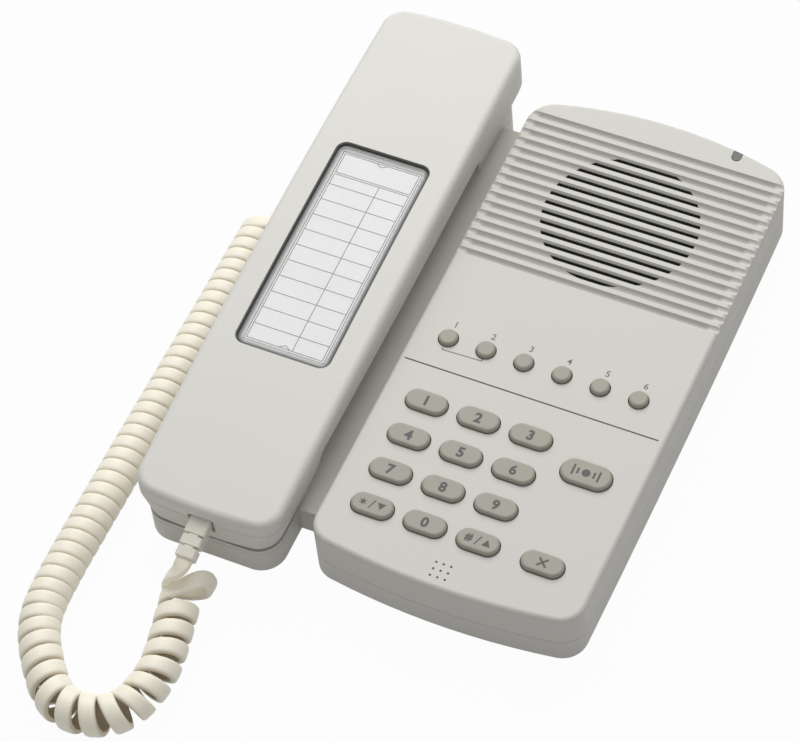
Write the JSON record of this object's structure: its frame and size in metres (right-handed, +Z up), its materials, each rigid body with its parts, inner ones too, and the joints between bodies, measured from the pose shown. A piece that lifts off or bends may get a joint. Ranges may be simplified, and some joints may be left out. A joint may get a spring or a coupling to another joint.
{
  "type": "intercom master station",
  "caption": "Desk intercom master station: handset in a cradle beside a raised panel with speaker grille, dial and function keys, and a curly cord.",
  "frame": {"origin": "on the table under the middle of the station without its cord", "axes": "+Z up, -Y towards the user, +X to the user's right, from the handset to the keys"},
  "size_m": [0.1827, 0.2987, 0.0414],
  "materials": {
    "case_plastic": "fine satin",
    "key_plastic": "satin, printed legends",
    "foot_rubber": "matte",
    "mat_rubber": "matte",
    "screw_steel": "zinc plated",
    "board_laminate": "lacquered",
    "speaker_cloth": "woven",
    "speaker_steel": "plated",
    "speaker_paper": "pressed paper",
    "magnet_ferrite": "ground",
    "capsule_metal": "satin",
    "status_lens": "clear tinted",
    "switch_plastic": "moulded",
    "jack_plastic": "moulded",
    "cord_jacket": "satin",
    "clear_plastic": "clear moulded",
    "card_cover": "clear polished",
    "card_paper": "printed card",
    "weight_iron": "raw"
  },
  "bodies": {
    "base": {"top_case": "case_plastic", "bottom_case": "case_plastic", "rubber_feet": "foot_rubber", "case_screws": "screw_steel", "key_mat": "mat_rubber", "main_board": "board_laminate", "board_screws": "screw_steel", "speaker_cloth": "speaker_cloth", "speaker_frame": "speaker_steel", "speaker_cone": "speaker_paper", "speaker_magnet": "magnet_ferrite", "speaker_screws": "screw_steel", "panel_microphone": "capsule_metal", "microphone_boot": "mat_rubber", "status_lens": "status_lens", "hook_switch": "switch_plastic", "line_jack": "jack_plastic", "base_handset_jack": "jack_plastic", "cord_coil": "cord_jacket", "cord_handset_lead": "cord_jacket", "cord_base_lead": "cord_jacket", "base_plug": "clear_plastic"},
    "handset": {"handset_upper_shell": "case_plastic", "handset_lower_shell": "case_plastic", "card_cover": "card_cover", "directory_card": "card_paper", "earpiece_capsule": "capsule_metal", "handset_microphone": "capsule_metal", "handset_weight": "weight_iron", "handset_screws": "screw_steel", "handset_jack": "jack_plastic", "handset_plug": "clear_plastic"},
    "hook_plunger": {"hook_plunger": "key_plastic"},
    "key_0": {"key_0": "key_plastic"},
    "key_1": {"key_1": "key_plastic"},
    "key_2": {"key_2": "key_plastic"},
    "key_3": {"key_3": "key_plastic"},
    "key_4": {"key_4": "key_plastic"},
    "key_5": {"key_5": "key_plastic"},
    "key_6": {"key_6": "key_plastic"},
    "key_7": {"key_7": "key_plastic"},
    "key_8": {"key_8": "key_plastic"},
    "key_9": {"key_9": "key_plastic"},
    "key_star": {"key_star": "key_plastic"},
    "key_hash": {"key_hash": "key_plastic"},
    "key_talk": {"key_talk": "key_plastic"},
    "key_clear": {"key_clear": "key_plastic"},
    "function_key_1": {"function_key_1": "key_plastic"},
    "function_key_2": {"function_key_2": "key_plastic"},
    "function_key_3": {"function_key_3": "key_plastic"},
    "function_key_4": {"function_key_4": "key_plastic"},
    "function_key_5": {"function_key_5": "key_plastic"},
    "function_key_6": {"function_key_6": "key_plastic"}
  },
  "joints": [
    {"name": "handset_lift", "type": "slide", "parent": "base", "child": "handset", "axis": [0, 0, 1], "range_m": [0, 0.12]},
    {"name": "hook_plunger_rise", "type": "slide", "parent": "base", "child": "hook_plunger", "axis": [0, 0, 1], "range_m": [0, 0.0035]},
    {"name": "key_0_press", "type": "slide", "parent": "base", "child": "key_0", "axis": [0, 0, -1], "range_m": [0, 0.0015], "stiffness_N_per_m": 200},
    {"name": "key_1_press", "type": "slide", "parent": "base", "child": "key_1", "axis": [0, 0, -1], "range_m": [0, 0.0015], "stiffness_N_per_m": 200},
    {"name": "key_2_press", "type": "slide", "parent": "base", "child": "key_2", "axis": [0, 0, -1], "range_m": [0, 0.0015], "stiffness_N_per_m": 200},
    {"name": "key_3_press", "type": "slide", "parent": "base", "child": "key_3", "axis": [0, 0, -1], "range_m": [0, 0.0015], "stiffness_N_per_m": 200},
    {"name": "key_4_press", "type": "slide", "parent": "base", "child": "key_4", "axis": [0, 0, -1], "range_m": [0, 0.0015], "stiffness_N_per_m": 200},
    {"name": "key_5_press", "type": "slide", "parent": "base", "child": "key_5", "axis": [0, 0, -1], "range_m": [0, 0.0015], "stiffness_N_per_m": 200},
    {"name": "key_6_press", "type": "slide", "parent": "base", "child": "key_6", "axis": [0, 0, -1], "range_m": [0, 0.0015], "stiffness_N_per_m": 200},
    {"name": "key_7_press", "type": "slide", "parent": "base", "child": "key_7", "axis": [0, 0, -1], "range_m": [0, 0.0015], "stiffness_N_per_m": 200},
    {"name": "key_8_press", "type": "slide", "parent": "base", "child": "key_8", "axis": [0, 0, -1], "range_m": [0, 0.0015], "stiffness_N_per_m": 200},
    {"name": "key_9_press", "type": "slide", "parent": "base", "child": "key_9", "axis": [0, 0, -1], "range_m": [0, 0.0015], "stiffness_N_per_m": 200},
    {"name": "key_star_press", "type": "slide", "parent": "base", "child": "key_star", "axis": [0, 0, -1], "range_m": [0, 0.0015], "stiffness_N_per_m": 200},
    {"name": "key_hash_press", "type": "slide", "parent": "base", "child": "key_hash", "axis": [0, 0, -1], "range_m": [0, 0.0015], "stiffness_N_per_m": 200},
    {"name": "key_talk_press", "type": "slide", "parent": "base", "child": "key_talk", "axis": [0, 0, -1], "range_m": [0, 0.0015], "stiffness_N_per_m": 200},
    {"name": "key_clear_press", "type": "slide", "parent": "base", "child": "key_clear", "axis": [0, 0, -1], "range_m": [0, 0.0015], "stiffness_N_per_m": 200},
    {"name": "function_key_1_press", "type": "slide", "parent": "base", "child": "function_key_1", "axis": [0, 0, -1], "range_m": [0, 0.0015], "stiffness_N_per_m": 200},
    {"name": "function_key_2_press", "type": "slide", "parent": "base", "child": "function_key_2", "axis": [0, 0, -1], "range_m": [0, 0.0015], "stiffness_N_per_m": 200},
    {"name": "function_key_3_press", "type": "slide", "parent": "base", "child": "function_key_3", "axis": [0, 0, -1], "range_m": [0, 0.0015], "stiffness_N_per_m": 200},
    {"name": "function_key_4_press", "type": "slide", "parent": "base", "child": "function_key_4", "axis": [0, 0, -1], "range_m": [0, 0.0015], "stiffness_N_per_m": 200},
    {"name": "function_key_5_press", "type": "slide", "parent": "base", "child": "function_key_5", "axis": [0, 0, -1], "range_m": [0, 0.0015], "stiffness_N_per_m": 200},
    {"name": "function_key_6_press", "type": "slide", "parent": "base", "child": "function_key_6", "axis": [0, 0, -1], "range_m": [0, 0.0015], "stiffness_N_per_m": 200}
  ],
  "couplings": [
    {"joint": "hook_plunger_rise", "follows": "handset_lift", "ratio": 0.029166}
  ]
}
